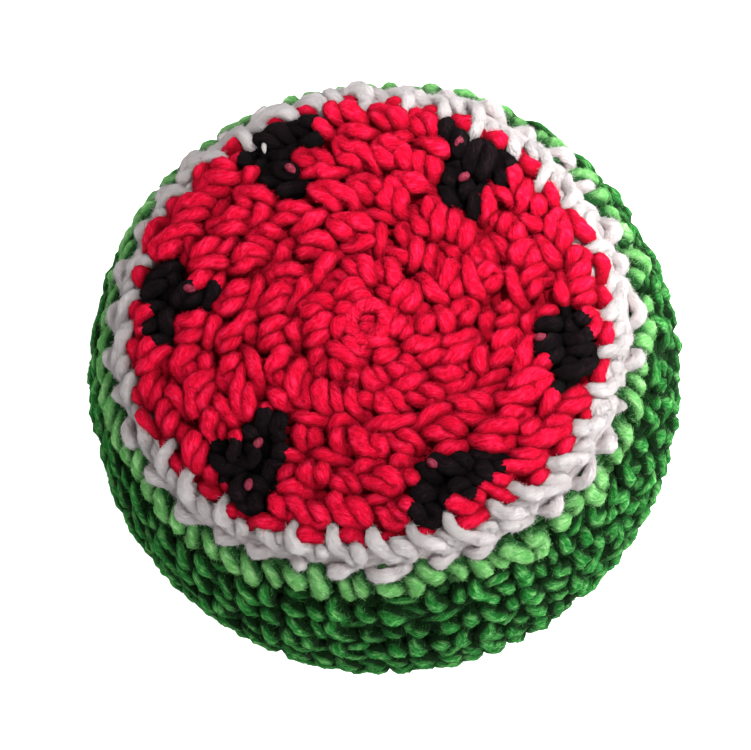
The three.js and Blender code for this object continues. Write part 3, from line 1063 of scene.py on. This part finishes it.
def muslin():
    """Plain weave: threads over and under each other, with slubs and a cotton tone."""
    made, tree, shader = new_material("muslin_cloth", {"Roughness": 0.9})
    cloth = add_node(tree, "UVMap", uv_map="cloth")
    weave = add_node(tree, "TexChecker", {"Scale": 1 / (WEAVE_PITCH * MM)})
    slubs = add_node(tree, "TexNoise", {"Scale": 900, "Detail": 5})
    tones = {"A": (0.60, 0.54, 0.44, 1), "B": (0.74, 0.69, 0.59, 1)}
    tone = add_node(tree, "Mix", tones, data_type="RGBA")
    height = add_node(tree, "Math", operation="ADD")
    bump = add_node(tree, "Bump", {"Distance": 0.0002})
    wire(
        tree,
        (cloth, "UV", weave, "Vector"),
        (cloth, "UV", slubs, "Vector"),
        (slubs, "Fac", tone, "Factor"),
        (tone, "Result", shader, "Base Color"),
        (weave, "Fac", height, 0),
        (slubs, "Fac", height, 1),
        (height, "Value", bump, "Height"),
        (bump, "Normal", shader, "Normal"),
    )
    return made


def mottled(name, colour, other, roughness, scale, relief):
    """A finish whose colour wanders a little between two, with a fine relief."""
    made, tree, shader = new_material(name, {"Roughness": roughness})
    place = add_node(tree, "TexCoord")
    noise = add_node(tree, "TexNoise", {"Scale": scale, "Detail": 4})
    tone = add_node(tree, "Mix", {"A": (*colour, 1), "B": (*other, 1)}, data_type="RGBA")
    bump = add_node(tree, "Bump", {"Strength": 0.4, "Distance": relief * MM})
    wire(
        tree,
        (place, "Object", noise, "Vector"),
        (noise, "Fac", tone, "Factor"),
        (tone, "Result", shader, "Base Color"),
        (noise, "Fac", bump, "Height"),
        (bump, "Normal", shader, "Normal"),
    )
    return made


def tie_thread():
    """A few turns of cotton thread round the pouch's neck, and its knot."""
    turns = np.radians(np.arange(0, 360 * TIE_TURNS + 1, 12))
    rise = np.interp(turns, (0, turns[-1]), (-1, 1)) * THREAD_RADIUS * TIE_TURNS * THREAD_PITCH
    ring = NECK_RADIUS - NECK_WAIST + POUCH_WALL * TIE_SINK + THREAD_RADIUS
    wound = np.stack((ring * np.cos(turns), ring * np.sin(turns), TIE_HEIGHT + rise), 1)
    t = np.radians(np.arange(0, 361, 15))
    swell = 1 + KNOT_SWELL * np.cos(3 * t)
    wide, long, high = KNOT_SIZE
    across = ring + THREAD_RADIUS + wide * np.cos(2 * t) * swell
    along = long * np.sin(2 * t) * swell
    knot = np.stack((across, along, TIE_HEIGHT + high * np.sin(3 * t)), 1)
    lines = [(line, THREAD_RADIUS + 0 * line[:, 0]) for line in (wound, knot)]
    piece = tube("thread_tie", lines, BACK_SIDES)
    cotton = mottled("cotton_thread", (0.82, 0.78, 0.7), (0.92, 0.89, 0.83), 0.8, 4000, 0.1)
    piece.data.materials.append(cotton)
    make_smooth(piece.data)
    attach(piece, "root")
    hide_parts("pouch_tie")


def pellet_places():
    """The middles of pellets in close layers, inside the pouch and clear of its neck."""
    side = side_at(POUCH_DEPTH + POUCH_WALL + PELLET_RADIUS + PELLET_GAP)
    layer_gap = PELLET_PITCH * math.sqrt(2 / 3) * PELLET_FLATNESS
    floor = side[:, 1].min()
    layers = int((side[:, 1].max() - floor) / layer_gap) + 1
    reach = int(BAG_RADIUS / PELLET_PITCH) + 2
    rows = range(-reach, reach + 1)
    for layer in range(layers):
        height = floor + layer * layer_gap
        upper = side[np.abs(side[:, 1] - height) < LAYER_REACH, 0]
        most = side[:, 0].max() if upper.size == 0 else upper.max()
        shift = (layer % 2) * PELLET_PITCH / 2
        over_neck = height > NECK_TOP + PELLET_RADIUS + 1
        for row, column in itertools.product(rows, rows):
            x = column * PELLET_PITCH + (row % 2) * PELLET_PITCH / 2 + shift
            y = row * PELLET_PITCH * math.sqrt(3) / 2 + shift / math.sqrt(3)
            away = math.hypot(x, y)
            if away < most and (over_neck or away > DIMPLE_RADIUS + PELLET_RADIUS):
                yield x, y, height


def loose_pellets():
    """Small flattened pellets, each turned a little, that fill the pouch round its neck."""
    shape = bmesh.new()
    for middle in pellet_places():
        jolt = rng.uniform(-PELLET_PLAY, PELLET_PLAY, 3)
        tilt = Matrix.Rotation(rng.uniform(-PELLET_TILT, PELLET_TILT), 4, "X")
        tilt = tilt @ Matrix.Rotation(rng.uniform(-PELLET_TILT, PELLET_TILT), 4, "Y")
        size = Matrix.Diagonal((1, rng.uniform(PELLET_NARROWEST, 1), PELLET_FLATNESS, 1))
        place = Matrix.Translation(Vector(np.add(middle, jolt)) * MM) @ tilt @ size
        bmesh.ops.create_icosphere(shape, subdivisions=1, radius=PELLET_RADIUS * MM, matrix=place)
    mesh = mesh_from("pellets", shape)
    plastic = mottled("pellet_plastic", (0.80, 0.77, 0.69), (0.90, 0.88, 0.81), 0.45, 250, 0.1)
    mesh.materials.append(plastic)
    pellets = add_object("pellets", mesh)
    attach(pellets, "root")
    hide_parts("pellet_fill")


gathered_pouch()
tie_thread()
loose_pellets()

# Floor, background and lamps, in metres
CENTRE = Vector((0, 0, BAG_HEIGHT / 2 * MM))
KEY_CONE = math.radians(10)
# Each lamp: its kind, place, size, power in watts, and what it is turned to
LAMPS = {
    "key": ("SPOT", (0.30, 0.07, 0.60), 0.08, 62, (0.046, 0.018, 0.033)),
    "fill": ("AREA", (0.24, -0.45, 0.34), 0.5, 4.2, CENTRE),
    "side": ("AREA", (-0.46, 0.16, 0.28), 0.4, 1.9, CENTRE),
    "low": ("AREA", (0.46, -0.14, 0.09), 0.3, 2.5, CENTRE),
}


def add_floor():
    """A white floor that glows for the camera alone, as the photograph's background is white."""
    bpy.ops.mesh.primitive_plane_add(size=4)
    floor = bpy.context.object
    floor.name = "floor"
    white = {"Base Color": (0.9, 0.9, 0.9, 1), "Roughness": 1}
    made, tree, shader = new_material("floor_white", white)
    glow = add_node(tree, "Emission")
    ray = add_node(tree, "LightPath")
    add = add_node(tree, "AddShader")
    wire(
        tree,
        (ray, "Is Camera Ray", glow, "Strength"),
        (shader, 0, add, 0),
        (glow, 0, add, 1),
        (add, 0, tree.nodes["Material Output"], "Surface"),
    )
    floor.data.materials.append(made)


def add_lamp(name, kind, place, size, power, aim):
    data = bpy.data.lights.new(name, kind)
    data.energy = power
    if kind == "AREA":
        data.shape = "DISK"
        data.size = size
    else:
        data.shadow_soft_size = size / 2
        data.spot_size = KEY_CONE
        data.spot_blend = 1
    made = add_object(name, data)
    made.location = place
    made.rotation_euler = (Vector(aim) - Vector(place)).to_track_quat("-Z", "Y").to_euler()


# The camera stands where the photograph was taken from. Its distance, and how far the bag lies
# beside the picture's middle, are in the photograph's pixels
PHOTO_WIDTH = 751
PIXELS_PER_MM = 9.783
ELEVATION = math.radians(69.7)
ROLL = math.radians(-17.3)
DISTANCE_PIXELS = 7750
BAG_OFF_PIXELS = 9.0


def add_camera():
    back = Vector((0, -math.cos(ELEVATION), math.sin(ELEVATION)))
    across, upward = Vector((1, 0, 0)), Vector((0, math.sin(ELEVATION), math.cos(ELEVATION)))
    right = math.cos(ROLL) * across + math.sin(ROLL) * upward
    up = math.cos(ROLL) * upward - math.sin(ROLL) * across
    aim = CENTRE - right * (BAG_OFF_PIXELS / PIXELS_PER_MM * MM)
    place = aim + back * (DISTANCE_PIXELS / PIXELS_PER_MM * MM)
    data = bpy.data.cameras.new("camera")
    data.sensor_width = 36
    data.lens = data.sensor_width * DISTANCE_PIXELS / PHOTO_WIDTH
    data.clip_start = 0.01
    camera = add_object("camera", data)
    turn = Matrix((right, up, back)).transposed().to_4x4()
    camera.matrix_world = Matrix.Translation(place) @ turn
    bpy.context.scene.camera = camera


add_floor()
for name, lamp in LAMPS.items():
    add_lamp(name, *lamp)
world = bpy.data.worlds.new("studio")
world.use_nodes = True
set_inputs(world.node_tree.nodes["Background"], {"Color": (1, 1, 1, 1), "Strength": 0.22})
bpy.context.scene.world = world
add_camera()
bpy.context.scene.view_settings.view_transform = "Standard"
